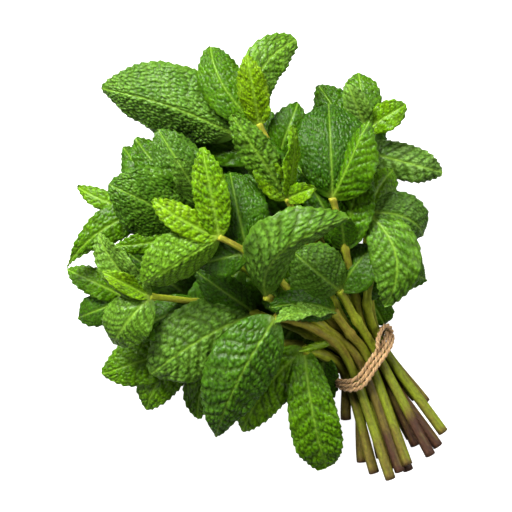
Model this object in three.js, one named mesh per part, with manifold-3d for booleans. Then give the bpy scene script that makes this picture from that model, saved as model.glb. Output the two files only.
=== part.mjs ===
// A hand-tied bunch of fresh mint lying on a table: leafy sprigs, each a stem with toothed leaves, held by a
// few turns of jute twine. Millimetres, +Z up off the table, origin on the table right under the tie.
//
// The sprigs are laid out as seen from above, x to the right and y up the page, with the cut ends at the lower
// right. The whole bunch is then turned about Z so that the cut ends point along +X.
import * as THREE from "three";
import { mergeVertices } from "three/addons/utils/BufferGeometryUtils.js";
import Module from "manifold-3d";

const wasm = await Module();
wasm.setup();

// Driving dimensions
const LAY_TURN = 58; // degrees from the page's right to the cut ends, taken clockwise
const STEM_ROOT_R = 1.6; // a stem at its cut end
const STEM_TIP_R = 1.1; // a stem where its last leaves stand
const STEM_SIDES = 6;
const STEM_STEP = 14; // length of one straight stretch of stem
const TIE_HEIGHT = 10.7; // middle of the bundle above the table
const TIE_HEADING = -60; // degrees, the way the stems run through the tie
const ROW_PITCH = 3.8; // between the four rows of stems in the tie
const TWINE_R = 1.0;
const TWINE_STEPS = 26;
// The middle of the band of turns: across the bundle, above its middle, and slip towards the cut ends
const TWINE_LOOP = [
  [14.5, 0, -3],
  [11.6, 6.9, 0.5],
  [2.5, 10.2, 5],
  [-6.8, 9, 8.8],
  [-12.8, 4.8, 6.2],
  [-14.6, -0.8, 0.8],
  [-10.2, -7.4, -1.5],
  [0, -10.2, -2.5],
  [10.2, -7.4, -3],
];
// Section of the band, three turns side by side: steps along the bundle and outwards, in twine radii
const TWINE_OUTLINE = [
  [-2.9, -0.8],
  [-2.9, 0.3],
  [-2, 1],
  [-1.05, 0.35],
  [0, 1],
  [1.05, 0.35],
  [2, 1],
  [2.9, 0.3],
  [2.9, -0.8],
];
// Section of the room kept clear around the band
const TWINE_ROOM = [
  [-3.3, -1.2],
  [-3.3, 0.6],
  [-2.4, 1.35],
  [2.4, 1.35],
  [3.3, 0.6],
  [3.3, -1.2],
];
// The middle of the slack bight, in the same terms as the band
const TWINE_BIGHT = [
  [6.5, 10.8, 1.5],
  [8.2, 11.2, -1.5],
  [10.8, 11, -4.2],
  [13.9, 9, -5.8],
  [15.4, 6, -4.4],
  [14.8, 3, -1.6],
  [13.6, 1, 0],
];
const TWINE_BIGHT_R = 0.9;
const TWINE_BIGHT_STEPS = 12;
const TWINE_BIGHT_SIDES = 6;
const BLADE_THICK = 0.8;
const BLADE_STALK_HALF = 1.0; // half-width of a leaf where it joins the stem
const TOOTH_OUT = 1.07;
const TOOTH_IN = 0.94;
const TOOTH_LENGTH = 9; // about one tooth for this much leaf, fewer than on the plant
const TEETH_FEWEST = 3; // on each side of a leaf
const TEETH_MOST = 6;
const STALK_SHARE = 0.04; // of a leaf's length, bare before its first tooth
const CURVE_ROUND = 4; // makes u (1 - u) reach one in the middle of a leaf
const TABLE_BLOCK = [400, 400, 20]; // taken off under the bunch
const GAP = 0.3; // air left between neighbouring sprigs

// One leaf: the stem joint it grows from, its tip, its width, and its shape. bow lifts the middle of the
// midrib, swing moves it sideways, roll turns the blade about its length, fold closes it along the midrib and
// taper draws its tip to a point.
const leaf = (joint, tip, width, shape = {}) => ({
  joint,
  tip,
  width,
  bow: 3,
  swing: 0,
  roll: 0,
  fold: -6,
  taper: 0.56,
  ...shape,
});

// Each sprig: its place in the tie (row 0 lowest, mm across), its cut end, the joints of its stem from the tie
// outwards, and its leaves. Sprigs nearest the top of the heap come first.
const SPRIGS = [
  {
    name: "sprig_crown",
    slot: [2, 0],
    cut: [18.8, -46, 11],
    joints: [[-12, 13.5, 25.5], [-30, 28, 43], [-46, 41.5, 55], [-57, 47.6, 61]],
    leaves: [
      leaf(3, [-63.6, 82.8, 71], 14.6, { bow: 2, fold: 12 }),
      leaf(3, [-83.4, 62.4, 66], 11.8, { bow: 2, swing: 1.2, fold: 6 }),
      leaf(3, [-87.6, 28.2, 56], 24, { bow: 4, swing: -2, roll: -26, fold: -26, taper: 0.48 }),
      leaf(2, [-53, 74, 50], 24, { bow: 4 }),
      leaf(2, [-66, 36.5, 47], 15, { bow: 2 }),
    ],
  },
  {
    name: "sprig_arch",
    slot: [3, -1.9],
    cut: [15.4, -46.4, 14.2],
    joints: [[-16, 12, 30], [-29, 19, 37], [-38.4, 24, 43]],
    leaves: [
      leaf(2, [-5.2, 54.8, 67], 28, { bow: 7, swing: 16, roll: 36, fold: -36 }),
      leaf(1, [-34.2, 43.6, 50], 9, { bow: 1, roll: -40 }),
      leaf(1, [-38, 28.5, 27], 13, { roll: -12 }),
    ],
  },
  {
    name: "sprig_collar",
    slot: [3, 5.8],
    cut: [27.6, -39.8, 15],
    joints: [[-2.1, 14.2, 27], [-9.2, 26.4, 36]],
    leaves: [
      leaf(1, [-27.8, 41.8, 50], 23.5, { bow: 3, roll: -4, fold: -8, taper: 0.5 }),
      leaf(1, [5, 45, 36], 20, { bow: 2, roll: -24 }),
    ],
  },
  {
    name: "sprig_curl",
    slot: [3, 1.9],
    cut: [18.4, -43.6, 15],
    joints: [[-4.8, 9, 25], [-11.2, 17.6, 32]],
    leaves: [
      leaf(1, [-34.6, 14.6, 59], 11, { bow: 2, roll: 56, fold: 18 }),
      leaf(1, [-37, 19.4, 47], 14, { bow: 3, swing: -2.5 }),
    ],
  },
  {
    name: "sprig_front",
    slot: [3, -5.8],
    cut: [11.6, -49.4, 15],
    joints: [[-11.5, 6, 27], [-26.4, 14, 37], [-34.6, 15.4, 42]],
    leaves: [
      leaf(2, [-58.8, -33.4, 27], 29, { bow: 9, swing: -4.7, roll: -14, fold: -16, taper: 0.8 }),
      leaf(0, [-25, 2, 31], 3.2, { bow: 0.5 }),
    ],
  },
  {
    name: "sprig_nest",
    slot: [1, 0],
    cut: [12, -40, 7],
    joints: [[-11, 21, 20], [-22, 44, 38], [-30, 63, 52]],
    leaves: [
      leaf(2, [-52, 95.5, 72], 15, { bow: 3, fold: -20 }),
      leaf(2, [-27, 91.5, 66], 9.5, { bow: 1, roll: 55 }),
      leaf(2, [-43, 79, 63], 12.5, { bow: 1, fold: 16 }),
      leaf(2, [-19.5, 67, 60], 9, { bow: 1, fold: 20 }),
      leaf(1, [-42, 89, 48], 17),
    ],
  },
  {
    name: "sprig_hood",
    slot: [2, 4.6],
    cut: [30.7, -36.3, 11],
    joints: [[-2.5, 23, 27], [-7, 43, 41], [-12, 63, 50]],
    leaves: [
      leaf(2, [-13.6, 101.5, 43], 28, { bow: 7, taper: 0.4 }),
      leaf(2, [2, 94, 58], 22, { bow: 3, swing: -2, roll: -30, fold: -30, taper: 0.75 }),
      leaf(1, [1, 75, 44], 17, { roll: -20 }),
      leaf(1, [-9, 57, 54], 11, { bow: 1 }),
      leaf(1, [-27, 78, 49], 14, { roll: 12 }),
      leaf(0, [18, 44, 18], 15, { roll: 12 }),
    ],
  },
  {
    name: "sprig_spire",
    slot: [1, 4.6],
    cut: [21.8, -36, 7],
    joints: [[-8, 27, 18], [-21, 55, 32], [-34, 79, 41], [-41.2, 92.5, 46]],
    leaves: [
      leaf(3, [-46, 119, 60], 12.5, { bow: 2, fold: -12 }),
      leaf(3, [-25.8, 126.2, 46], 17, { bow: 3, swing: 9, roll: 14, taper: 0.36 }),
      leaf(3, [-60.8, 123.8, 42], 18.5, { bow: 4, swing: 4, fold: -12, taper: 0.4 }),
      leaf(3, [-38, 101.5, 51], 6, { bow: 0.5 }),
      leaf(2, [-25.6, 101.4, 41], 15),
      leaf(1, [-49, 72, 30], 16),
    ],
  },
  {
    name: "sprig_west",
    slot: [2, -4.6],
    cut: [12.5, -45, 11],
    joints: [[-22, 9, 22], [-43, 17, 27], [-66, 21.5, 30], [-84.4, 24, 45]],
    leaves: [
      leaf(3, [-105.4, 48.5, 51], 16, { bow: 2, swing: 1.5, roll: -22, fold: 25 }),
      leaf(3, [-103, 33.6, 52], 9, { bow: 1, fold: 25 }),
      leaf(3, [-100, 4, 35], 20.5, { bow: 6, swing: -1, fold: -10 }),
      leaf(1, [-84.8, -7.6, 31], 30, { bow: 9, swing: -3, roll: -6, fold: -4, taper: 0.46 }),
      leaf(1, [-66.5, 34, 38], 14),
      leaf(2, [-94, 8, 34], 16, { roll: 12 }),
    ],
  },
  {
    name: "sprig_east",
    slot: [2, 9.2],
    cut: [32.8, -30.7, 11],
    joints: [[2, 21, 26], [4.5, 39, 33], [2, 57.2, 40]],
    leaves: [
      leaf(2, [8.8, 19.4, 39], 20.5, { bow: 6, swing: 8 }),
      leaf(2, [25.4, 47.6, 31], 19, { bow: 5, swing: 4 }),
      leaf(2, [12.6, 75, 35], 13.5, { bow: 2, swing: 1 }),
      leaf(1, [26.6, 30.4, 20], 15),
    ],
  },
  {
    name: "sprig_skirt",
    slot: [2, -9.2],
    cut: [5.1, -47, 11],
    joints: [[-15, 0, 20], [-23, 2.5, 25]],
    leaves: [
      leaf(1, [-14, -45.8, 13], 20.5, { bow: 5, swing: -1.5, fold: 10, taper: 0.3 }),
      leaf(1, [-48.2, -31, 16], 19, { bow: 4, swing: -3 }),
      leaf(0, [-16, -20, 6], 13, { bow: 1, roll: 12 }),
    ],
  },
  {
    name: "sprig_north",
    slot: [1, 9.2],
    cut: [25.8, -18.8, 7],
    joints: [[3, 24, 17], [5.5, 50, 23], [3.4, 76, 29], [1.6, 91, 33]],
    leaves: [
      leaf(3, [-1.6, 114, 30], 15.5),
      leaf(3, [17.6, 100.6, 35], 12, { bow: 1, fold: 8 }),
      leaf(3, [-6.2, 108.8, 43], 10.5, { bow: 1, fold: 18 }),
      leaf(2, [-17.6, 108.8, 25], 20),
      leaf(1, [24, 55, 23], 16),
      leaf(0, [10, 11.5, 7], 13, { bow: 1 }),
    ],
  },
  {
    name: "sprig_ridge",
    slot: [0, 1.9],
    cut: [20, -33, 3.2],
    joints: [[-10, 33, 11], [-28, 61, 21], [-42, 79, 31], [-50.4, 88, 38]],
    leaves: [
      leaf(3, [-104.6, 106.6, 34], 33, { bow: 5, swing: -4.5, roll: -20, fold: -24 }),
      leaf(3, [-62, 113, 24], 18),
      leaf(2, [-88, 97, 15], 19),
      leaf(1, [-22, 98, 0.2], 18),
      leaf(1, [-46, 103, 6], 20),
      leaf(0, [-36, 46, 2], 16, { roll: -12 }),
    ],
  },
  {
    name: "sprig_shade",
    slot: [0, -1.9],
    cut: [8, -41, 3.2],
    joints: [[-19, 25, 10], [-41, 46, 23], [-62.8, 60.4, 40]],
    leaves: [
      leaf(2, [-81.6, 90.6, 44], 20),
      leaf(2, [-91, 87.5, 34], 18, { swing: 2 }),
      leaf(2, [-74, 78.5, 56], 12, { bow: 1 }),
      leaf(1, [-84, 80, 11], 20),
      leaf(0, [-68, 36, 12], 20),
      leaf(1, [-66, 90, 13], 20),
    ],
  },
  {
    name: "sprig_wing",
    slot: [1, -4.6],
    cut: [0.2, -42.7, 7],
    joints: [[-23, 14.5, 17], [-48, 36, 27], [-70, 50, 34], [-88.8, 57.6, 36]],
    leaves: [
      leaf(3, [-118.8, 34.6, 29], 15, { bow: 4, swing: -3.5, taper: 1.4 }),
      leaf(3, [-114.2, 68, 31], 8.5, { bow: 1, swing: 1.2 }),
      leaf(2, [-101.2, 68.3, 49], 30, { bow: 5, swing: -3, roll: -12 }),
      leaf(2, [-98.5, 44, 41], 10, { swing: 1.5 }),
      leaf(1, [-70, 14, 22], 18),
      leaf(2, [-96, 84, 20], 18),
    ],
  },
  {
    name: "sprig_under_east",
    slot: [0, 5.8],
    cut: [22, -17, 3.2],
    joints: [[0.5, 27, 9], [2.5, 53, 13], [-1, 73, 20], [-3.5, 83, 25]],
    leaves: [
      leaf(3, [32.8, 73.4, 21], 15, { bow: 3, fold: -10, taper: 0.42 }),
      leaf(3, [-10, 104, 17], 18),
      leaf(2, [6, 96, 12], 14),
      leaf(2, [-24, 86, 20], 18, { roll: 12 }),
      leaf(1, [-25, 52, 8], 18),
      leaf(0, [-24, 50, 8], 17),
      leaf(1, [16, 66, 9], 14),
      leaf(0, [-21, 20, 7], 17),
      leaf(0, [-1, 6, 13], 14),
    ],
  },
  {
    name: "sprig_south",
    slot: [1, -9.2],
    cut: [-6.2, -25.6, 7],
    joints: [[-25, 4, 13], [-48, 4, 18], [-67, 5, 24]],
    leaves: [
      leaf(2, [-104.6, -7.4, 22], 20.5),
      leaf(2, [-86.8, -22.3, 17], 18, { swing: -3 }),
      leaf(1, [-66, -25.9, 14], 17, { swing: -5.5 }),
      leaf(1, [-88, 16, 1], 18, { roll: -12 }),
      leaf(0, [-40, -22, 5], 17),
      leaf(0, [-13, 19, 9], 14),
      leaf(0, [-7, 2, 1.5], 14),
    ],
  },
  {
    name: "sprig_under_west",
    slot: [0, -5.8],
    cut: [1, -36, 3.2],
    joints: [[-26, 12, 8], [-60, 17, 13], [-93.6, 23.2, 22]],
    leaves: [
      leaf(2, [-118.6, 35, 21], 11.5),
      leaf(2, [-114.6, 15, 15], 14),
      leaf(1, [-96, -5, 12], 20, { roll: 12 }),
      leaf(1, [-95, 42, 0.2], 20),
      leaf(0, [-60, -16, 1], 20, { roll: -12 }),
      leaf(0, [-62, 44, 0], 20),
    ],
  },
];

const radians = THREE.MathUtils.degToRad;
const vector = (xyz) => new THREE.Vector3(...xyz);
const UP = new THREE.Vector3(0, 0, 1);

// Geometry helpers: closed meshes as lists of corners and faces, and solids made from them.
function geometryOf(points, faces) {
  const geometry = new THREE.BufferGeometry();
  geometry.setAttribute(
    "position",
    new THREE.Float32BufferAttribute(points.flatMap((p) => [p.x, p.y, p.z]), 3),
  );
  geometry.setIndex(faces.flat());
  return geometry;
}

function solidOf(geometry) {
  const bare = geometry.clone();
  bare.deleteAttribute("normal");
  bare.deleteAttribute("uv");
  const merged = mergeVertices(bare, 1e-4);
  return new wasm.Manifold(
    new wasm.Mesh({
      numProp: 3,
      vertProperties: merged.attributes.position.array,
      triVerts: new Uint32Array(merged.index.array),
    }),
  );
}

function geometryFromSolid(solid) {
  const { numProp, numVert, vertProperties, triVerts } = solid.getMesh();
  const corners = new Float32Array(numVert * 3);
  for (let i = 0; i < numVert; i++) {
    corners.set(vertProperties.subarray(i * numProp, i * numProp + 3), i * 3);
  }
  const geometry = new THREE.BufferGeometry();
  geometry.setAttribute("position", new THREE.BufferAttribute(corners, 3));
  geometry.setIndex(new THREE.BufferAttribute(triVerts, 1));
  return geometry.toNonIndexed();
}

// A bar along a line of points. The outline gives its section as steps to the side and up, drawn
// clockwise when seen along the bar from behind, times the scale at each point.
function sweep(points, ups, outline, scales, closed = false) {
  const last = points.length - 1;
  const rings = points.map((point, i) => {
    const before = points[closed ? (i + last) % points.length : Math.max(i - 1, 0)];
    const after = points[closed ? (i + 1) % points.length : Math.min(i + 1, last)];
    const along = after.clone().sub(before).normalize();
    const side = new THREE.Vector3().crossVectors(along, ups[i]).normalize();
    const top = new THREE.Vector3().crossVectors(side, along);
    return outline.map(([x, y]) =>
      point.clone().addScaledVector(side, x * scales[i]).addScaledVector(top, y * scales[i]),
    );
  });
  const count = outline.length;
  const faces = [];
  for (let i = 0; i < (closed ? rings.length : last); i++) {
    const next = ((i + 1) % rings.length) * count;
    for (let k = 0; k < count; k++) {
      const a = i * count + k;
      const b = i * count + ((k + 1) % count);
      const c = next + ((k + 1) % count);
      const d = next + k;
      faces.push([a, b, c], [a, c, d]);
    }
  }
  if (!closed) {
    const far = last * count;
    for (let k = 1; k < count - 1; k++) {
      faces.push([0, k + 1, k], [far, far + k, far + k + 1]);
    }
  }
  return geometryOf(rings.flat(), faces);
}

// A regular outline of the given number of sides, one unit in radius.
const roundOutline = (sides) =>
  Array.from({ length: sides }, (_, k) => {
    const angle = (-2 * Math.PI * (k + 0.5)) / sides;
    return [Math.cos(angle), Math.sin(angle)];
  });

// The place of a stem in the tie.
function slotPoint([row, across]) {
  const heading = radians(TIE_HEADING + 90);
  return new THREE.Vector3(
    across * Math.cos(heading),
    across * Math.sin(heading),
    TIE_HEIGHT + (row - 1.5) * ROW_PITCH,
  );
}

// A stem runs from its cut end through the tie to its last joint, as one smooth curve.
function stemCurve(sprig) {
  return new THREE.CatmullRomCurve3(
    [vector(sprig.cut), slotPoint(sprig.slot), ...sprig.joints.map(vector)],
    false,
    "centripetal",
  );
}

function stemSolid(sprig, extra = 0) {
  const curve = stemCurve(sprig);
  const steps = Math.round(curve.getLength() / STEM_STEP);
  const points = curve.getSpacedPoints(steps);
  const radii = points.map(
    (_, i) => THREE.MathUtils.lerp(STEM_ROOT_R, STEM_TIP_R, i / steps) + extra,
  );
  return solidOf(sweep(points, points.map(() => UP), roundOutline(STEM_SIDES), radii));
}

// Half-width of a mint blade along its length, as a share of the greatest: an egg shape, broadest a little
// below the middle and blunt at the tip.
function bladeShare(u, taper) {
  const widest = 0.5 / (0.5 + taper);
  return (u ** 0.5 * (1 - u) ** taper) / (widest ** 0.5 * (1 - widest) ** taper);
}

// The frame of a blade: where it starts, its chord, the way it faces and the way across it.
function bladeFrame(sprig, item) {
  const base = vector(sprig.joints[item.joint]);
  const chord = vector(item.tip).sub(base);
  const along = chord.clone().normalize();
  const facing = new THREE.Vector3(0, 0, 1);
  facing.addScaledVector(along, -facing.dot(along)).normalize();
  facing.applyAxisAngle(along, radians(item.roll));
  const across = new THREE.Vector3().crossVectors(facing, along);
  return { base, chord, facing, across, item };
}

// A point of the blade: u runs from stem to tip, side from -1 to 1 across, reach scales the half-width and
// raise moves it off the middle of the blade's thickness.
function bladePoint(frame, u, side, reach = 1, raise = 0) {
  const { base, chord, facing, across, item } = frame;
  const arch = CURVE_ROUND * u * (1 - u);
  const slope = CURVE_ROUND * (1 - 2 * u);
  const along = chord
    .clone()
    .addScaledVector(facing, item.bow * slope)
    .addScaledVector(across, item.swing * slope)
    .normalize();
  const sideways = across.clone().addScaledVector(along, -across.dot(along)).normalize();
  const up = new THREE.Vector3().crossVectors(along, sideways);
  const half = Math.max(BLADE_STALK_HALF * (1 - u), (item.width / 2) * bladeShare(u, item.taper)) * reach;
  const fold = radians(item.fold);
  return base
    .clone()
    .addScaledVector(chord, u)
    .addScaledVector(facing, item.bow * arch)
    .addScaledVector(across, item.swing * arch)
    .addScaledVector(sideways, side * half * Math.cos(fold))
    .addScaledVector(up, Math.abs(side) * half * Math.sin(fold) + raise);
}

// A toothed blade as a closed solid: the same triangles on both faces, joined by a rim.
function bladeSolid(frame, extra = 0) {
  const wanted = Math.round(frame.chord.length() / TOOTH_LENGTH);
  const teeth = THREE.MathUtils.clamp(wanted, TEETH_FEWEST, TEETH_MOST);
  const steps = 2 * teeth;
  const height = BLADE_THICK / 2 + extra;
  const corners = [];
  const station = (j) => (j === 0 ? 0 : THREE.MathUtils.lerp(STALK_SHARE, 1, j / steps));
  const reach = (j) => (j === 0 ? 1 : j % 2 ? TOOTH_OUT : TOOTH_IN) * (1 + (2 * extra) / frame.item.width);
  for (const raise of [height, -height]) {
    for (let j = 0; j < steps; j++) {
      for (const side of [-1, 0, 1]) {
        corners.push(bladePoint(frame, station(j), side, reach(j), raise));
      }
    }
    corners.push(bladePoint(frame, 1, 0, 0, raise));
  }
  const sheet = 3 * steps + 1;
  const tip = 3 * steps;
  const rib = (j) => 3 * j + 1;
  const edge = (j, side) => (j === steps ? tip : 3 * j + 1 + side);
  const top = [];
  for (const side of [-1, 1]) {
    const add = (a, b, c) => top.push(side > 0 ? [a, c, b] : [a, b, c]);
    for (let j = 0; j < steps; j += 2) {
      const next = j + 2 === steps ? tip : rib(j + 2);
      add(rib(j), edge(j, side), edge(j + 1, side));
      add(rib(j), edge(j + 1, side), next);
      if (next !== tip) add(next, edge(j + 1, side), edge(j + 2, side));
    }
  }
  const faces = [...top, ...top.map(([a, b, c]) => [a + sheet, c + sheet, b + sheet])];
  const border = [tip];
  for (let j = steps - 1; j >= 0; j--) border.push(edge(j, -1));
  border.push(rib(0));
  for (let j = 0; j < steps; j++) border.push(edge(j, 1));
  border.forEach((a, i) => {
    const b = border[(i + 1) % border.length];
    faces.push([a, b, a + sheet], [b, b + sheet, a + sheet]);
  });
  return solidOf(geometryOf(corners, faces));
}

// What is left of a blade once its neighbours are cut out of it: the piece that still holds to the stem.
function trim(blade, neighbours, root) {
  let left = blade;
  for (const { solid, box } of neighbours) {
    const own = left.boundingBox();
    if ([0, 1, 2].some((k) => own.min[k] > box.max[k] || own.max[k] < box.min[k])) continue;
    left = left.subtract(solid);
  }
  if (left.isEmpty()) return null;
  const pieces = left.decompose().filter((piece) => !piece.intersect(root).isEmpty());
  pieces.sort((a, b) => b.volume() - a.volume());
  return pieces[0] ?? null;
}

const withBox = (solid) => ({ solid, box: solid.boundingBox() });

// Everything below the table's top is taken off, which leaves small flat spots where the bunch rests.
function onTable(solid) {
  const slab = new THREE.BoxGeometry(...TABLE_BLOCK).translate(0, 0, -TABLE_BLOCK[2] / 2);
  return solid.subtract(solidOf(slab.toNonIndexed()));
}

function sprigSolids(sprigs, twine) {
  const fatStems = sprigs.map((sprig) => withBox(stemSolid(sprig, GAP)));
  const fatBlades = [];
  return sprigs.map((sprig, own) => {
    const stem = stemSolid(sprig);
    const others = [withBox(twine), ...fatStems.filter((_, i) => i !== own)];
    const earlier = fatBlades.slice();
    let whole = stem;
    for (const item of sprig.leaves) {
      const frame = bladeFrame(sprig, item);
      const blade = trim(bladeSolid(frame), [...others, ...earlier], stem);
      if (!blade) continue;
      whole = whole.add(blade);
      fatBlades.push(withBox(bladeSolid(frame, GAP)));
    }
    const pieces = onTable(whole).decompose();
    pieces.sort((a, b) => b.volume() - a.volume());
    return pieces[0];
  });
}

// The twine: turns side by side around the bundle, slipped towards the cut ends on top, with a slack bight
// standing off the bundle's right side.
function twineLines() {
  const heading = radians(TIE_HEADING);
  const along = new THREE.Vector3(Math.cos(heading), Math.sin(heading), 0);
  const across = new THREE.Vector3(-Math.sin(heading), Math.cos(heading), 0);
  const middle = new THREE.Vector3(0, 0, TIE_HEIGHT);
  const place = ([x, height, slip]) =>
    middle.clone().addScaledVector(across, x).addScaledVector(UP, height).addScaledVector(along, slip);
  const band = new THREE.CatmullRomCurve3(TWINE_LOOP.map(place), true, "centripetal")
    .getSpacedPoints(TWINE_STEPS)
    .slice(0, TWINE_STEPS);
  const outward = band.map((p) => {
    const spoke = p.clone().sub(middle);
    return spoke.addScaledVector(along, -spoke.dot(along)).normalize();
  });
  const bight = new THREE.CatmullRomCurve3(TWINE_BIGHT.map(place)).getSpacedPoints(TWINE_BIGHT_STEPS);
  return { band, outward, bight };
}

function twineSolid(outline, bightRadius) {
  const { band, outward, bight } = twineLines();
  const turns = sweep(band, outward, outline, band.map(() => TWINE_R), true);
  const slack = sweep(bight, bight.map(() => UP), roundOutline(TWINE_BIGHT_SIDES), bight.map(() => bightRadius));
  return onTable(solidOf(turns).add(solidOf(slack)));
}

const LEAF_GREEN = { color: 0x3f7d22, roughness: 0.5, metalness: 0 };
const JUTE = { color: 0xa9825a, roughness: 0.9, metalness: 0 };

const meshOf = (name, solid, look) => {
  const mesh = new THREE.Mesh(geometryFromSolid(solid), new THREE.MeshStandardMaterial(look));
  mesh.name = name;
  return mesh;
};

const bunch = new THREE.Group();
const twineRoom = twineSolid(TWINE_ROOM, TWINE_BIGHT_R + GAP);
sprigSolids(SPRIGS, twineRoom).forEach((solid, i) =>
  bunch.add(meshOf(SPRIGS[i].name, solid, LEAF_GREEN)),
);
bunch.add(meshOf("twine", twineSolid(TWINE_OUTLINE, TWINE_BIGHT_R), JUTE));
bunch.rotation.z = radians(LAY_TURN);

export default bunch;
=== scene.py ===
"""Dresses a hand-tied bunch of fresh mint: quilted toothed leaves, square stems and jute twine.

The bunch lies on a pale table and is seen from straight above. It is laid out in millimetres on a page, x
to the right and y up, with the origin under the tie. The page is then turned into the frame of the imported
model, where the cut ends of the stems point along +X.
"""

import logging
import math
import random
from dataclasses import dataclass, field
from enum import Enum

import bpy
import numpy as np
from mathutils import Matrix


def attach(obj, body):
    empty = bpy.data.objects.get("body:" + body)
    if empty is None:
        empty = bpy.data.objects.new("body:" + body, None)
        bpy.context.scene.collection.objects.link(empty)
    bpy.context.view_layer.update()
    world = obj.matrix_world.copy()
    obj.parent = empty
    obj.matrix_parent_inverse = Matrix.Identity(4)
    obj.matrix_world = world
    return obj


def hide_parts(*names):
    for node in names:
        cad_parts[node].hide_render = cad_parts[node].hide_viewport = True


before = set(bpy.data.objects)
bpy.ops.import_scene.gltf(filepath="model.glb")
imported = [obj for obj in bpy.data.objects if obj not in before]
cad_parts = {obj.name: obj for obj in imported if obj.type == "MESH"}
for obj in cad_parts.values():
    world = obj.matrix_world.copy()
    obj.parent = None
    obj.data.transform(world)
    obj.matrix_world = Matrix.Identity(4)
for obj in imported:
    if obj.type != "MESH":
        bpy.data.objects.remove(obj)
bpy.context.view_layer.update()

LOG = logging.getLogger("mint")
Point = tuple[float, float, float]
Colour = tuple[float, float, float]
Piece = bpy.types.Object
Material = bpy.types.Material
Mesh = bpy.types.Mesh
Node = bpy.types.Node
Socket = bpy.types.NodeSocket
Array = np.ndarray

MM = 0.001
UP = np.array([0.0, 0.0, 1.0])
LAY_TURN = math.radians(58)  # from the page to the frame
TIE_HEADING = math.radians(-60)  # of the bare stems on the page
TIE_ALONG = np.array([math.cos(TIE_HEADING), math.sin(TIE_HEADING), 0.0])
TIE_ACROSS = np.array([-TIE_ALONG[1], TIE_ALONG[0], 0.0])
TIE_MIDDLE = UP * 10.7
ROW_PITCH = 3.8  # between the rows of stems in the tie
MIDDLE_ROW = 1.5
WELD_GAP = 0.002 * MM
UV_SCALE = 0.01  # a millimetre of surface on the UV map
SCATTER = (127.1, 311.7, 74.7, 43758.5453)  # mixes whole numbers into what looks like chance
SPLINE_STEPS = 24  # between two knots


def page_to_frame(points: Array) -> Array:
    """Turns points from the page, in millimetres, into the frame of the model, in metres.

    Args:
        points: An array of points, one to a row.

    Returns:
        The same points turned about Z and scaled.
    """
    cos, sin = math.cos(LAY_TURN), math.sin(LAY_TURN)
    turn = np.array([[cos, -sin, 0.0], [sin, cos, 0.0], [0.0, 0.0, 1.0]])
    return points @ turn.T * MM


def unit(vectors: Array) -> Array:
    """Scales each vector of an array to length one."""
    return vectors / np.linalg.norm(vectors, axis=-1, keepdims=True)


def smooth(value: Array, low: float, high: float) -> Array:
    """Rises smoothly from 0 at low to 1 at high."""
    share = np.clip((value - low) / (high - low), 0.0, 1.0)
    return share * share * (3.0 - 2.0 * share)


def hump(gap: Array, reach: float, power: float = 2) -> Array:
    """Falls smoothly from 1 where the gap is nothing to almost 0 at twice the reach."""
    return np.exp(-((gap / reach) ** power))


def scatter(first: Array, second: Array, seed: float) -> Array:
    """Gives a fixed number from 0 to 1 for each pair of whole numbers."""
    wave = np.sin(first * SCATTER[0] + second * SCATTER[1] + seed * SCATTER[2]) * SCATTER[3]
    return wave - np.floor(wave)


def spline(knots: Array, count: int, closed: bool = False) -> Array:
    """Draws a smooth curve through its knots, evenly spaced along its length.

    Args:
        knots: The points it passes through.
        count: How many points to give back.
        closed: Whether the curve runs back to its first knot.

    Returns:
        The points of a centripetal Catmull-Rom curve.
    """
    if closed:
        chain = np.vstack([knots[-1], knots, knots[0], knots[1]])
    else:
        chain = np.vstack([2 * knots[0] - knots[1], knots, 2 * knots[-1] - knots[-2]])
    gaps = np.maximum(np.sqrt(np.linalg.norm(np.diff(chain, axis=0), axis=1)), 1e-4)
    t = np.linspace(0, 1, SPLINE_STEPS, endpoint=False)[:, None]
    fine = []
    for p0, p1, p2, p3, d0, d1, d2 in zip(chain, chain[1:], chain[2:], chain[3:], gaps, gaps[1:], gaps[2:]):
        t1 = ((p1 - p0) / d0 - (p2 - p0) / (d0 + d1) + (p2 - p1) / d1) * d1
        t2 = ((p2 - p1) / d1 - (p3 - p1) / (d1 + d2) + (p3 - p2) / d2) * d1
        start, end = (2 * t**3 - 3 * t**2 + 1) * p1, (3 * t**2 - 2 * t**3) * p2
        fine.append(start + (t**3 - 2 * t**2 + t) * t1 + end + (t**3 - t**2) * t2)
    line = np.vstack([*fine, chain[-2]])
    reach = np.concatenate([[0.0], np.cumsum(np.linalg.norm(np.diff(line, axis=0), axis=1))])
    marks = np.linspace(0, reach[-1], count, endpoint=not closed)
    return np.column_stack([np.interp(marks, reach, line[:, k]) for k in range(3)])


class StemTint(Enum):
    """How purple a stem is: at its cut end, just below the tie, and above it."""

    GREEN = (0.2, 0.05, 0.05)
    OLIVE = (0.45, 0.2, 0.1)
    BROWN = (0.9, 0.6, 0.25)
    PURPLE = (1.0, 0.85, 0.25)
    PURPLE_FOOT = (1.0, 0.08, 0.1)
    BROWN_HEAD = (0.35, 0.05, 0.35)


@dataclass(frozen=True)
class Leaf:
    """One leaf: where it stands and how it is bent.

    bow lifts the middle of the midrib, swing moves it sideways, roll turns the blade about its length, fold
    closes it along the midrib and taper draws its tip to a point. tone runs from 0, old, to 1, young, pale is
    how much painted sheen in the underside's grey-green lies on its raised pillows, and quilt is how high its
    pillows stand and how strongly painted shade darkens their grooves.
    """

    joint: int
    tip: Point
    width: float
    tone: float
    bow: float = 3.0
    swing: float = 0.0
    roll: float = 0.0
    fold: float = -6.0
    taper: float = 0.56
    # pale: painted sheen, the share of the underside's grey-green laid on the raised pillows.
    pale: float = 0.0
    quilt: float = 0.75
    seen: bool = True


@dataclass(frozen=True)
class Covered(Leaf):
    """A leaf that others cover, which is made of larger faces."""

    seen: bool = False


@dataclass(frozen=True)
class Sprig:
    """One sprig: its place in the tie, its cut end, its joints from the tie out, and its leaves."""

    name: str
    slot: tuple[int, float]
    cut: Point
    tint: StemTint
    joints: list[Point]
    leaves: list[Leaf]


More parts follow.
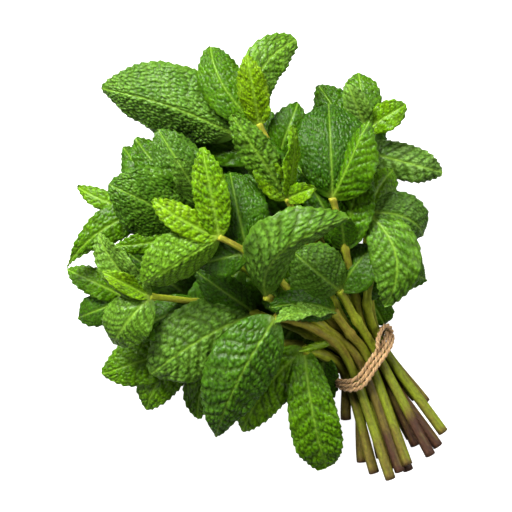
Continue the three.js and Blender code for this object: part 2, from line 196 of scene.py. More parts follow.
SPRIGS = [
    Sprig("sprig_crown", (2, 0.0), (18.8, -46, 11), StemTint.BROWN,
          [(-12, 13.5, 25.5), (-30, 28, 43), (-46, 41.5, 55), (-57, 47.6, 61)], [
        Leaf(3, (-63.6, 82.8, 71), 14.6, 0.7, bow=2, fold=12, quilt=0.65),
        Leaf(3, (-83.4, 62.4, 66), 11.8, 0.8, bow=2, swing=1.2, fold=6, quilt=0.5),
        Leaf(3, (-87.6, 28.2, 56), 24, 0.62, bow=4, swing=-2, roll=-26, fold=-26, taper=0.48,
             pale=0.25, quilt=0.65),
        Leaf(2, (-53, 74, 50), 24, 0.2, bow=4, quilt=1.1),
        Leaf(2, (-66, 36.5, 47), 15, 0.25, bow=2),
    ]),
    Sprig("sprig_arch", (3, -1.9), (15.4, -46.4, 14.2), StemTint.BROWN,
          [(-16, 12, 30), (-29, 19, 37), (-38.4, 24, 43)], [
        Leaf(2, (-5.2, 54.8, 67), 28, 0.42, bow=7, swing=16, roll=36, fold=-36, pale=0.4, quilt=0.55),
        Leaf(1, (-34.2, 43.6, 50), 9, 0.5, bow=1, roll=-40),
        Leaf(1, (-38, 28.5, 27), 13, 0.2, roll=-12),
    ]),
    Sprig("sprig_collar", (3, 5.8), (27.6, -39.8, 15), StemTint.PURPLE_FOOT,
          [(-2.1, 14.2, 27), (-9.2, 26.4, 36)], [
        Leaf(1, (-27.8, 41.8, 50), 23.5, 0.38, bow=3, roll=-4, fold=-8, taper=0.5, pale=0.45, quilt=0.6),
        Leaf(1, (5, 45, 36), 20, 0.32, bow=2, roll=-24),
    ]),
    Sprig("sprig_curl", (3, 1.9), (18.4, -43.6, 15), StemTint.BROWN_HEAD,
          [(-4.8, 9, 25), (-11.2, 17.6, 32)], [
        Leaf(1, (-34.6, 14.6, 59), 11, 0.6, bow=2, roll=56, fold=18, pale=1.0),
        Leaf(1, (-37, 19.4, 47), 14, 0.2, bow=3, swing=-2.5),
    ]),
    Sprig("sprig_front", (3, -5.8), (11.6, -49.4, 15), StemTint.BROWN_HEAD,
          [(-11.5, 6, 27), (-26.4, 14, 37), (-34.6, 15.4, 42)], [
        Leaf(2, (-58.8, -33.4, 27), 29, 0.25, bow=9, swing=-4.7, roll=-14, fold=-16, taper=0.8,
             pale=0.1, quilt=0.6),
        Leaf(0, (-25, 2, 31), 3.2, 0.9, bow=0.5),
    ]),
    Sprig("sprig_nest", (1, 0.0), (12, -40, 7), StemTint.OLIVE,
          [(-11, 21, 20), (-22, 44, 38), (-30, 63, 52)], [
        Leaf(2, (-52, 95.5, 72), 15, 0.5, bow=3, fold=-20, pale=0.3),
        Leaf(2, (-27, 91.5, 66), 9.5, 0.7, bow=1, roll=55),
        Leaf(2, (-43, 79, 63), 12.5, 0.75, bow=1, fold=16),
        Leaf(2, (-19.5, 67, 60), 9, 0.75, bow=1, fold=20),
        Covered(1, (-42, 89, 48), 17, 0.2),
    ]),
    Sprig("sprig_hood", (2, 4.6), (30.7, -36.3, 11), StemTint.PURPLE,
          [(-2.5, 23, 27), (-7, 43, 41), (-12, 63, 50)], [
        Leaf(2, (-13.6, 101.5, 43), 28, 0.14, bow=7, taper=0.4, quilt=1.2),
        Leaf(2, (2, 94, 58), 22, 0.42, bow=3, swing=-2, roll=-30, fold=-30, taper=0.75, quilt=0.5),
        Leaf(1, (1, 75, 44), 17, 0.36, roll=-20, quilt=0.5),
        Leaf(1, (-9, 57, 54), 11, 0.3, bow=1),
        Leaf(1, (-27, 78, 49), 14, 0.2, roll=12),
        Leaf(0, (18, 44, 18), 15, 0.3, roll=12),
    ]),
    Sprig("sprig_spire", (1, 4.6), (21.8, -36, 7), StemTint.BROWN,
          [(-8, 27, 18), (-21, 55, 32), (-34, 79, 41), (-41.2, 92.5, 46)], [
        Leaf(3, (-46, 119, 60), 12.5, 0.85, bow=2, fold=-12),
        Leaf(3, (-25.8, 126.2, 46), 17, 0.5, bow=3, swing=9, roll=14, taper=0.36, pale=0.3),
        Leaf(3, (-60.8, 123.8, 42), 18.5, 0.38, bow=4, swing=4, fold=-12, taper=0.4, quilt=1.1),
        Leaf(3, (-38, 101.5, 51), 6, 0.8, bow=0.5),
        Leaf(2, (-25.6, 101.4, 41), 15, 0.25),
        Covered(1, (-49, 72, 30), 16, 0.2),
    ]),
    Sprig("sprig_west", (2, -4.6), (12.5, -45, 11), StemTint.OLIVE,
          [(-22, 9, 22), (-43, 17, 27), (-66, 21.5, 30), (-84.4, 24, 45)], [
        Leaf(3, (-105.4, 48.5, 51), 16, 0.6, bow=2, swing=1.5, roll=-22, fold=25, pale=0.7),
        Leaf(3, (-103, 33.6, 52), 9, 0.75, bow=1, fold=25),
        Leaf(3, (-100, 4, 35), 20.5, 0.5, bow=6, swing=-1, fold=-10, pale=0.4, quilt=0.5),
        Leaf(1, (-84.8, -7.6, 31), 30, 0.42, bow=9, swing=-3, roll=-6, fold=-4, taper=0.46,
             pale=0.5, quilt=0.6),
        Leaf(1, (-66.5, 34, 38), 14, 0.2),
        Leaf(2, (-94, 8, 34), 16, 0.3, roll=12),
    ]),
    Sprig("sprig_east", (2, 9.2), (32.8, -30.7, 11), StemTint.GREEN,
          [(2, 21, 26), (4.5, 39, 33), (2, 57.2, 40)], [
        Leaf(2, (8.8, 19.4, 39), 20.5, 0.42, bow=6, swing=8, pale=0.3, quilt=0.5),
        Leaf(2, (25.4, 47.6, 31), 19, 0.32, bow=5, swing=4, pale=0.5),
        Leaf(2, (12.6, 75, 35), 13.5, 0.5, bow=2, swing=1),
        Leaf(1, (26.6, 30.4, 20), 15, 0.35),
    ]),
    Sprig("sprig_skirt", (2, -9.2), (5.1, -47, 11), StemTint.OLIVE,
          [(-15, 0, 20), (-23, 2.5, 25)], [
        Leaf(1, (-14, -45.8, 13), 20.5, 0.47, bow=5, swing=-1.5, fold=10, taper=0.3),
        Leaf(1, (-48.2, -31, 16), 19, 0.56, bow=4, swing=-3, quilt=0.6),
        Leaf(0, (-16, -20, 6), 13, 0.3, bow=1, roll=12),
    ]),
    Sprig("sprig_north", (1, 9.2), (25.8, -18.8, 7), StemTint.OLIVE,
          [(3, 24, 17), (5.5, 50, 23), (3.4, 76, 29), (1.6, 91, 33)], [
        Leaf(3, (-1.6, 114, 30), 15.5, 0.4),
        Leaf(3, (17.6, 100.6, 35), 12, 0.65, bow=1, fold=8),
        Leaf(3, (-6.2, 108.8, 43), 10.5, 0.6, bow=1, fold=18, pale=0.9, quilt=0.5),
        Leaf(2, (-17.6, 108.8, 25), 20, 0.3, quilt=1.0),
        Covered(1, (24, 55, 23), 16, 0.35),
        Leaf(0, (10, 11.5, 7), 13, 0.35, bow=1),
    ]),
    Sprig("sprig_ridge", (0, 1.9), (20, -33, 3.2), StemTint.GREEN,
          [(-10, 33, 11), (-28, 61, 21), (-42, 79, 31), (-50.4, 88, 38)], [
        Leaf(3, (-104.6, 106.6, 34), 33, 0.38, bow=5, swing=-4.5, roll=-20, fold=-24,
             pale=0.45, quilt=1.1),
        Covered(3, (-62, 113, 24), 18, 0.3),
        Covered(2, (-88, 97, 15), 19, 0.3),
        Covered(1, (-22, 98, 0.2), 18, 0.3),
        Covered(1, (-46, 103, 6), 20, 0.3),
        Covered(0, (-36, 46, 2), 16, 0.3, roll=-12),
    ]),
    Sprig("sprig_shade", (0, -1.9), (8, -41, 3.2), StemTint.BROWN,
          [(-19, 25, 10), (-41, 46, 23), (-62.8, 60.4, 40)], [
        Leaf(2, (-81.6, 90.6, 44), 20, 0.3, pale=0.3, quilt=1.0),
        Leaf(2, (-91, 87.5, 34), 18, 0.35, swing=2),
        Leaf(2, (-74, 78.5, 56), 12, 0.45, bow=1, pale=0.5),
        Covered(1, (-84, 80, 11), 20, 0.3),
        Covered(0, (-68, 36, 12), 20, 0.25),
        Covered(1, (-66, 90, 13), 20, 0.3),
    ]),
    Sprig("sprig_wing", (1, -4.6), (0.2, -42.7, 7), StemTint.OLIVE,
          [(-23, 14.5, 17), (-48, 36, 27), (-70, 50, 34), (-88.8, 57.6, 36)], [
        Leaf(3, (-118.8, 34.6, 29), 15, 0.45, bow=4, swing=-3.5, taper=1.4),
        Leaf(3, (-114.2, 68, 31), 8.5, 0.65, bow=1, swing=1.2),
        Leaf(2, (-101.2, 68.3, 49), 30, 0.35, bow=5, swing=-3, roll=-12, pale=0.2, quilt=1.1),
        Leaf(2, (-98.5, 44, 41), 10, 0.5, swing=1.5),
        Covered(1, (-70, 14, 22), 18, 0.25),
        Covered(2, (-96, 84, 20), 18, 0.3),
    ]),
    Sprig("sprig_under_east", (0, 5.8), (22, -17, 3.2), StemTint.OLIVE,
          [(0.5, 27, 9), (2.5, 53, 13), (-1, 73, 20), (-3.5, 83, 25)], [
        Leaf(3, (32.8, 73.4, 21), 15, 0.42, bow=3, fold=-10, taper=0.42, pale=1.0, quilt=0.5),
        Covered(3, (-10, 104, 17), 18, 0.3),
        Covered(2, (6, 96, 12), 14, 0.3),
        Covered(2, (-24, 86, 20), 18, 0.25, roll=12),
        Covered(1, (-25, 52, 8), 18, 0.25),
        Covered(0, (-24, 50, 8), 17, 0.2),
        Covered(1, (16, 66, 9), 14, 0.35),
        Leaf(0, (-21, 20, 7), 17, 0.25),
        Leaf(0, (-1, 6, 13), 14, 0.3),
    ]),
    Sprig("sprig_south", (1, -9.2), (-6.2, -25.6, 7), StemTint.OLIVE,
          [(-25, 4, 13), (-48, 4, 18), (-67, 5, 24)], [
        Leaf(2, (-104.6, -7.4, 22), 20.5, 0.5),
        Leaf(2, (-86.8, -22.3, 17), 18, 0.5, swing=-3),
        Leaf(1, (-66, -25.9, 14), 17, 0.45, swing=-5.5),
        Covered(1, (-88, 16, 1), 18, 0.3, roll=-12),
        Covered(0, (-40, -22, 5), 17, 0.3),
        Leaf(0, (-13, 19, 9), 14, 0.25),
        Leaf(0, (-7, 2, 1.5), 14, 0.3),
    ]),
    Sprig("sprig_under_west", (0, -5.8), (1, -36, 3.2), StemTint.BROWN,
          [(-26, 12, 8), (-60, 17, 13), (-93.6, 23.2, 22)], [
        Leaf(2, (-118.6, 35, 21), 11.5, 0.45),
        Leaf(2, (-114.6, 15, 15), 14, 0.3),
        Covered(1, (-96, -5, 12), 20, 0.3, roll=12),
        Covered(1, (-95, 42, 0.2), 20, 0.3),
        Covered(0, (-60, -16, 1), 20, 0.3, roll=-12),
        Covered(0, (-62, 44, 0), 20, 0.25),
    ]),
]


def deselect_all() -> None:
    """Clears the selection, so that an operator acts on the new piece alone."""
    bpy.ops.object.select_all(action="DESELECT")


def coordinates(mesh: Mesh) -> Array:
    """Reads the places of a mesh's vertices.

    Args:
        mesh: The mesh to read.

    Returns:
        One row of three numbers for each vertex.
    """
    flat = np.empty(len(mesh.vertices) * 3, dtype=np.float32)
    mesh.vertices.foreach_get("co", flat)
    return flat.reshape(-1, 3).astype(float)


def place(mesh: Mesh, points: Array) -> None:
    """Moves the vertices of a mesh to their places on the page."""
    mesh.vertices.foreach_set("co", page_to_frame(points).astype(np.float32).ravel())
    mesh.update()


def write_colours(mesh: Mesh, name: str, *channels: Array | float) -> None:
    """Stores three numbers for each vertex, as a colour that the materials read.

    Args:
        mesh: The mesh to write to.
        name: The colour's name.
        channels: An array or a number for each of the three.
    """
    rows = np.ones((len(mesh.vertices), 4), dtype=np.float32)
    for channel, values in enumerate(channels):
        rows[:, channel] = values
    mesh.attributes.new(name, "FLOAT_COLOR", "POINT").data.foreach_set("color", rows.ravel())


def write_uv(mesh: Mesh, first: Array, second: Array) -> None:
    """Lays the mesh out flat, so that patterns follow its surface.

    Args:
        mesh: The mesh to write to.
        first: Place along the surface, for each vertex.
        second: Place across it.
    """
    corners = np.empty(len(mesh.loops), dtype=np.int32)
    mesh.loops.foreach_get("vertex_index", corners)
    flat = np.column_stack([first, second])[corners]
    mesh.uv_layers["UVMap"].data.foreach_set("uv", flat.astype(np.float32).ravel())


def tube_sheet(rings: int, sides: int) -> tuple[Piece, Array, Array]:
    """Adds a flat sheet that is to be rolled into a tube.

    Args:
        rings: Rings from end to end.
        sides: Faces round the tube.

    Returns:
        The sheet, and the ring and the angle of each of its vertices.
    """
    deselect_all()
    bpy.ops.mesh.primitive_grid_add(x_subdivisions=rings - 1, y_subdivisions=sides, size=2)
    piece = bpy.context.active_object
    flat = coordinates(piece.data)
    ring = np.rint((flat[:, 0] + 1) / 2 * (rings - 1)).astype(int)
    return piece, ring, (flat[:, 1] + 1) * math.pi


def roll_up(piece: Piece, middle: Array, ways: tuple[Array, Array], radius: Array, angle: Array) -> None:
    """Rolls a sheet into a tube, welds its seam, closes its ends and turns its faces outwards.

    Args:
        piece: The sheet.
        middle: The middle of the tube, for each vertex.
        ways: The way out of the tube at angle 0, and at a quarter turn.
        radius: How far out each vertex stands.
        angle: How far round it stands.
    """
    side, top = ways
    out = side * np.cos(angle)[:, None] + top * np.sin(angle)[:, None]
    place(piece.data, middle + out * radius[:, None])
    deselect_all()
    piece.select_set(True)
    bpy.context.view_layer.objects.active = piece
    bpy.ops.object.mode_set(mode="EDIT")
    bpy.ops.mesh.select_all(action="SELECT")
    bpy.ops.mesh.remove_doubles(threshold=WELD_GAP)
    bpy.ops.mesh.fill_holes(sides=0)
    bpy.ops.mesh.normals_make_consistent(inside=False)
    bpy.ops.object.mode_set(mode="OBJECT")


def join(pieces: list[Piece], name: str) -> Piece:
    """Joins meshes into one piece and reports it.

    Args:
        pieces: The meshes, the first of which takes in the rest.
        name: What the whole is called.

    Returns:
        The joined piece.
    """
    deselect_all()
    for piece in pieces:
        piece.select_set(True)
    bpy.context.view_layer.objects.active = pieces[0]
    bpy.ops.object.join()
    whole = bpy.context.view_layer.objects.active
    whole.name = whole.data.name = name
    bpy.ops.object.shade_smooth()
    faces = sum(len(face.vertices) - 2 for face in whole.data.polygons)
    LOG.info("%s: %d meshes, %d triangles", name, len(pieces), faces)
    return whole


# Finishes

NOISE = (0.3, 0.7)  # where most of a mottling's values lie


@dataclass(frozen=True)
class NodeTools:
    """Short ways to add nodes to one material or group."""

    tree: bpy.types.NodeTree

    def feed(self, node: Node, inputs: dict[int | str, object]) -> Node:
        """Fills some of a node's inputs, from other sockets or with plain values.

        Args:
            node: The node to fill.
            inputs: What goes into each input, by its name or number.

        Returns:
            The same node.
        """
        for key, value in inputs.items():
            if isinstance(value, Socket):
                self.tree.links.new(value, node.inputs[key])
            else:
                node.inputs[key].default_value = value
        return node

    def add(self, kind: str, inputs: dict[int | str, object], **settings: object) -> Node:
        """Adds a node.

        Args:
            kind: Its type.
            inputs: What goes into its inputs.
            settings: Its options, which are set first.

        Returns:
            The new node.
        """
        node = self.tree.nodes.new(kind)
        for key, value in settings.items():
            setattr(node, key, value)
        return self.feed(node, inputs)

    def mix(self, factor: object, low: object, high: object, blend: str = "MIX") -> Socket:
        """Mixes two colours."""
        inputs = {0: factor, 6: low, 7: high}
        return self.add("ShaderNodeMix", inputs, data_type="RGBA", blend_type=blend).outputs[2]

    def maths(self, operation: str, first: object, second: object) -> Socket:
        """Works out one value from two."""
        return self.add("ShaderNodeMath", {0: first, 1: second}, operation=operation).outputs[0]

    def span(self, value: object, low: float, high: float, start: float, end: float) -> Socket:
        """Maps low..high to start..end, and holds it there."""
        inputs = {0: value, 1: low, 2: high, 3: start, 4: end}
        return self.add("ShaderNodeMapRange", inputs, clamp=True).outputs[0]

    def ramp(self, value: object, stops: dict[float, Colour]) -> Socket:
        """Turns a value into a colour by its place between stops.

        Args:
            value: The number to colour.
            stops: The colour at each of several places from 0 to 1.

        Returns:
            The colour.
        """
        node = self.add("ShaderNodeValToRGB", {0: value})
        band = node.color_ramp
        while len(band.elements) < len(stops):
            band.elements.new(0.5)
        for element, (where, colour) in zip(band.elements, stops.items()):
            element.position = where
            element.color = (*colour, 1.0)
        return node.outputs[0]

    def channels(self, name: str) -> list[Socket]:
        """Reads a colour that the mesh carries, as its three numbers."""
        colour = self.add("ShaderNodeAttribute", {}, attribute_name=name).outputs["Color"]
        return list(self.add("ShaderNodeSeparateColor", {0: colour}).outputs)

    def bump(self, height: Socket, strength: float, distance: float) -> Socket:
        """Gives the normal of a surface that rises with a value, by a distance in metres."""
        inputs = {"Height": height, "Strength": strength, "Distance": distance}
        return self.add("ShaderNodeBump", inputs).outputs[0]

    def mottle(self, scale: float, stretch: float, contrast: float) -> Socket:
        """Places the shared mottling: patches to 0.1 m, how long they are, and how strong."""
        inputs = {"Scale": scale, "Stretch": stretch, "Contrast": contrast}
        return self.add("ShaderNodeGroup", inputs, node_tree=mottle_group()).outputs["Value"]


def mottle_group() -> bpy.types.NodeTree:
    """Builds the shared mottling, once: cloudy patches with finer grain in them, laid along the surface.

    Returns:
        A group with Scale, Stretch and Contrast inputs and a Value output around 0.5.
    """
    if "mottle" in bpy.data.node_groups:
        return bpy.data.node_groups["mottle"]
    group = bpy.data.node_groups.new("mottle", "ShaderNodeTree")
    for socket in ("Scale", "Stretch", "Contrast"):
        group.interface.new_socket(socket, in_out="INPUT", socket_type="NodeSocketFloat")
    group.interface.new_socket("Value", in_out="OUTPUT", socket_type="NodeSocketFloat")
    tools = NodeTools(group)
    given = tools.add("NodeGroupInput", {}).outputs
    narrowed = tools.maths("DIVIDE", 1.0, given["Stretch"])
    squeeze = tools.add("ShaderNodeCombineXYZ", {0: narrowed, 1: 1.0, 2: 1.0}).outputs[0]
    flat = tools.add("ShaderNodeUVMap", {}, uv_map="UVMap").outputs[0]
    along = tools.add("ShaderNodeVectorMath", {0: flat, 1: squeeze}, operation="MULTIPLY").outputs[0]
    inputs = {"Vector": along, "Scale": given["Scale"], "Detail": 4.0, "Roughness": 0.6}
    cloud = tools.add("ShaderNodeTexNoise", inputs).outputs[0]
    strong = tools.maths("MULTIPLY", tools.maths("SUBTRACT", cloud, 0.5), given["Contrast"])
    tools.add("NodeGroupOutput", {"Value": tools.maths("ADD", strong, 0.5)})
    return group


def new_material(name: str) -> tuple[NodeTools, Material, Node]:
    """Starts a material.

    Args:
        name: What the material is called.

    Returns:
        Its node tools, the material, and its Principled shader.
    """
    material = bpy.data.materials.new(name)
    material.use_nodes = True
    return NodeTools(material.node_tree), material, material.node_tree.nodes["Principled BSDF"]


@dataclass(frozen=True)
class LeafFinish:
    """The living surface of a mint leaf, darker with age, with paler veins and a grey-green underside.

    Painted shade darkens the grooves between its pillows and painted light brightens their crests; on pale
    leaves, patches of the underside's grey-green on the raised pillows are a painted sheen.
    """

    oldest: Colour = (0.016, 0.062, 0.002)
    mature: Colour = (0.046, 0.125, 0.002)
    fresh: Colour = (0.11, 0.235, 0.003)
    youngest: Colour = (0.2, 0.32, 0.005)
    vein: Colour = (0.2, 0.33, 0.035)
    # The underside's own grey-green, also used for the painted sheen on pale leaves.
    underside_and_sheen: Colour = (0.17, 0.28, 0.075)
    stalk: Colour = (0.2, 0.22, 0.035)
    patch_scale: float = 14.0
    patch_drift: float = 0.5
    grain_scale: float = 110.0
    net_scale: float = 90.0
    net_depth: float = -0.7
    # Painted shade in the grooves and painted light on the crests, as factors on the green.
    painted_groove_shade: float = 0.25
    painted_crest_light: float = 1.2
    bump_depth: float = 0.4 * MM
    roughness: float = 0.27
    specular: float = 0.18

    def build(self) -> Material:
        """Builds the material, which reads each leaf's tone, the painted light and shade of its relief, and
        its veins from its mesh.

        Returns:
            The material.
        """
        tools, material, shader = new_material("mint_leaf")
        # relief carries painted light: high on the pillows' crests, low in their grooves.
        tone, relief, veins = tools.channels("shade")
        # pale is how much painted sheen the leaf carries.
        under, stalk, pale = tools.channels("kind")
        patches = tools.mottle(self.patch_scale, 1.0, 1.0)
        grain = tools.mottle(self.grain_scale, 1.0, 1.0)
        drift = tools.maths("MULTIPLY", tools.maths("SUBTRACT", patches, 0.5), self.patch_drift)
        ages = {0.0: self.oldest, 0.33: self.mature, 0.66: self.fresh, 1.0: self.youngest}
        green = tools.ramp(tools.maths("ADD", tone, drift), ages)
        # Painted sheen on pale leaves: grey-green patches on the raised pillows stand in for the lamps'
        # reflection; the underside is grey-green in truth.
        sheen_patches = tools.span(patches, 0.3, 0.65, 0.35, 1.0)
        raised = tools.maths("MULTIPLY", sheen_patches, tools.span(relief, 0.0, 1.0, 0.2, 0.9))
        above, below = tools.maths("MULTIPLY", pale, raised), tools.maths("MULTIPLY", under, 0.7)
        underside_and_sheen_green = tools.mix(tools.maths("MAXIMUM", above, below), green, (*self.underside_and_sheen, 1.0))
        # Painted shade darkens the grooves and painted light brightens the crests.
        painted_shade_factor = tools.span(relief, 0.0, 0.9, self.painted_groove_shade, self.painted_crest_light)
        shaded_green = tools.mix(1.0, underside_and_sheen_green, painted_shade_factor, "MULTIPLY")
        speckled = tools.mix(1.0, shaded_green, tools.span(grain, *NOISE, 0.75, 1.25), "MULTIPLY")
        clear = tools.maths("MULTIPLY", veins, tools.span(tone, 0.1, 0.8, 0.55, 0.8))
        veined = tools.mix(clear, speckled, (*self.vein, 1.0))
        rough = tools.span(grain, *NOISE, self.roughness - 0.05, self.roughness + 0.12)
        flat = tools.add("ShaderNodeUVMap", {}, uv_map="UVMap").outputs[0]
        inputs = {"Vector": flat, "Scale": self.net_scale}
        net = tools.add("ShaderNodeTexVoronoi", inputs, feature="SMOOTH_F1").outputs["Distance"]
        height = tools.maths("ADD", tools.maths("MULTIPLY", net, self.net_depth), grain)
        tools.feed(shader, {
            "Base Color": tools.mix(tools.maths("MULTIPLY", stalk, 0.45), veined, (*self.stalk, 1.0)),
            "Roughness": tools.maths("ADD", rough, tools.maths("MULTIPLY", under, 0.2)),
            "Normal": tools.bump(height, 0.6, self.bump_depth),
            "Subsurface Weight": 0.06,
            "Subsurface Radius": (0.5, 1.0, 0.1),
            "Subsurface Scale": MM,
            "Specular IOR Level": self.specular,
        })
        return material


@dataclass(frozen=True)
class StemFinish:
    """The skin of a mint stem, from bright olive to dark purple, with a pale cut face.

    It grows lighter towards its tip, partly as young growth and partly as painted light where the leaves
    shade it; painted shade darkens the hollows of its faces and painted light brightens its corners.
    """

    green: Colour = (0.19, 0.225, 0.014)
    olive: Colour = (0.155, 0.125, 0.02)
    purple: Colour = (0.072, 0.033, 0.018)
    pith: Colour = (0.12, 0.09, 0.03)
    old_shade: float = 0.88
    # Lifts the stem towards its tip: partly young growth, partly painted light where the leaves shade it.
    young_and_painted_light: float = 1.75
    blotchiness: float = 0.9
    bump_depth: float = 0.3 * MM
    roughness: float = 0.42
    specular: float = 0.25

    def build(self) -> Material:
        """Builds the material, which reads from its mesh how purple the stem is, and how far it is young and
        in the leaves' shade, where painted light lifts it.

        Returns:
            The material.
        """
        tools, material, shader = new_material("mint_stem")
        # ridge is 1 on the corners, brightened with painted light, and 0 in the faces' hollows, darkened with
        # painted shade.
        purple, ridge, cut = tools.channels("shade")
        young = tools.channels("kind")[0]
        streaks = tools.mottle(45.0, 5.0, 1.3)
        spots = tools.mottle(120.0, 2.0, 1.0)
        blotches = tools.maths("MULTIPLY", tools.maths("SUBTRACT", streaks, 0.5), self.blotchiness)
        tints = {0.05: self.green, 0.45: self.olive, 1.0: self.purple}
        skin = tools.ramp(tools.maths("ADD", purple, blotches), tints)
        # Factors: lighter to the tip, partly youth, partly painted light in the leaves' shade; painted shade
        # in hollows, painted light on corners; spots.
        for shade in (
            tools.span(young, 0.0, 1.0, self.old_shade, self.young_and_painted_light),
            tools.span(ridge, 0.0, 1.0, 0.85, 1.1),
            tools.span(spots, *NOISE, 0.65, 1.25),
        ):
            skin = tools.mix(1.0, skin, shade, "MULTIPLY")
        tools.feed(shader, {
            "Base Color": tools.mix(cut, skin, (*self.pith, 1.0)),
            "Roughness": tools.span(streaks, 0.2, 0.8, self.roughness, self.roughness + 0.2),
            "Normal": tools.bump(tools.maths("ADD", streaks, spots), 0.4, self.bump_depth),
            "Subsurface Weight": 0.08,
            "Subsurface Radius": (0.8, 1.0, 0.3),
            "Subsurface Scale": MM,
            "Specular IOR Level": self.specular,
        })
        return material


@dataclass(frozen=True)
class JuteFinish:
    """Hairy tan jute, its fibres running along each ply."""

    dark: Colour = (0.14, 0.07, 0.025)
    tan: Colour = (0.5, 0.31, 0.14)
    pale: Colour = (0.8, 0.6, 0.36)
    fibre_share: float = 0.7
    bump_depth: float = 0.3 * MM

    def build(self) -> Material:
        """Builds the material, streaked along the fibres.

        Returns:
            The material.
        """
        tools, material, shader = new_material("jute")
        fibres = tools.mottle(260.0, 12.0, 1.8)
        patches = tools.maths("MULTIPLY", tools.mottle(30.0, 2.0, 1.0), 1 - self.fibre_share)
        both = tools.maths("ADD", tools.maths("MULTIPLY", fibres, self.fibre_share), patches)
        tools.feed(shader, {
            "Base Color": tools.ramp(both, {0.2: self.dark, 0.5: self.tan, 0.85: self.pale}),
            "Roughness": 0.85,
            "Sheen Weight": 0.25,
            "Normal": tools.bump(fibres, 0.8, self.bump_depth),
        })
        return material


@dataclass(frozen=True)
class TableFinish:
    """A plain matt white table, whose glow keeps it pale without lighting the leaves from below."""

    colour: Colour = (0.35, 0.35, 0.35)
    glow: float = 0.86

    def build(self) -> Material:
        """Builds the material.

        Returns:
            The material.
        """
        tools, material, shader = new_material("table")
        seen = tools.add("ShaderNodeLightPath", {}).outputs["Is Camera Ray"]
        tools.feed(shader, {
            "Base Color": (*self.colour, 1.0),
            "Roughness": 0.7,
            "Emission Color": (1.0, 1.0, 1.0, 1.0),
            "Emission Strength": tools.maths("MULTIPLY", seen, self.glow),
        })
        return material


# Leaves


@dataclass
class BladeStock:
    """Flat thin sheets, one for each size of grid, from which every leaf is copied."""

    finest: float = 0.4
    coarsest: float = 0.54
    hidden: float = 0.85
    steps_per_pillow: float = 4.2
    tooth_pitch: float = 2.6
    sheets: dict[tuple[int, int], Piece] = field(default_factory=dict)

    def copy(self, shaper: "LeafShaper") -> tuple[Piece, int]:
        """Copies the sheet that suits a leaf: finer where its pillows are small, coarser where it is hidden.

        Args:
            shaper: The leaf that is to be shaped.

        Returns:
            A new object with its own mesh, and how many teeth it has on a side.
        """
        step = min(max(shaper.pillow_size / self.steps_per_pillow, self.finest), self.coarsest)
        if not shaper.leaf.seen:
            step = self.hidden
        teeth = max(4, round(shaper.length / self.tooth_pitch))
        rows = teeth * max(3, round(self.tooth_pitch / step))
        size = (rows, 2 * max(3, round(shaper.leaf.width / 2 / step)))
        if size not in self.sheets:
            self.sheets[size] = self.make(*size)
        blade = self.sheets[size].copy()
        blade.data = blade.data.copy()
        bpy.context.scene.collection.objects.link(blade)
        return blade, teeth

    def make(self, rows: int, columns: int) -> Piece:
        """Makes a flat sheet with two faces and a closed rim.

        Args:
            rows: Steps from stem to tip.
            columns: Steps from edge to edge.

        Returns:
            A sheet from -1 to 1 in X and Y, and half a unit thick on each side of Z.
        """
        deselect_all()
        bpy.ops.mesh.primitive_grid_add(x_subdivisions=rows, y_subdivisions=columns, size=2)
        sheet = bpy.context.active_object
        sheet.name = f"blade_{rows}_{columns}"
        wall = sheet.modifiers.new("wall", "SOLIDIFY")
        wall.thickness = 1.0
        wall.offset = 0.0
        bpy.ops.object.modifier_apply(modifier=wall.name)
        return sheet

    def clear(self) -> None:
        """Removes the sheets once every leaf has its own copy."""
        for sheet in self.sheets.values():
            bpy.data.meshes.remove(sheet.data)
        self.sheets.clear()


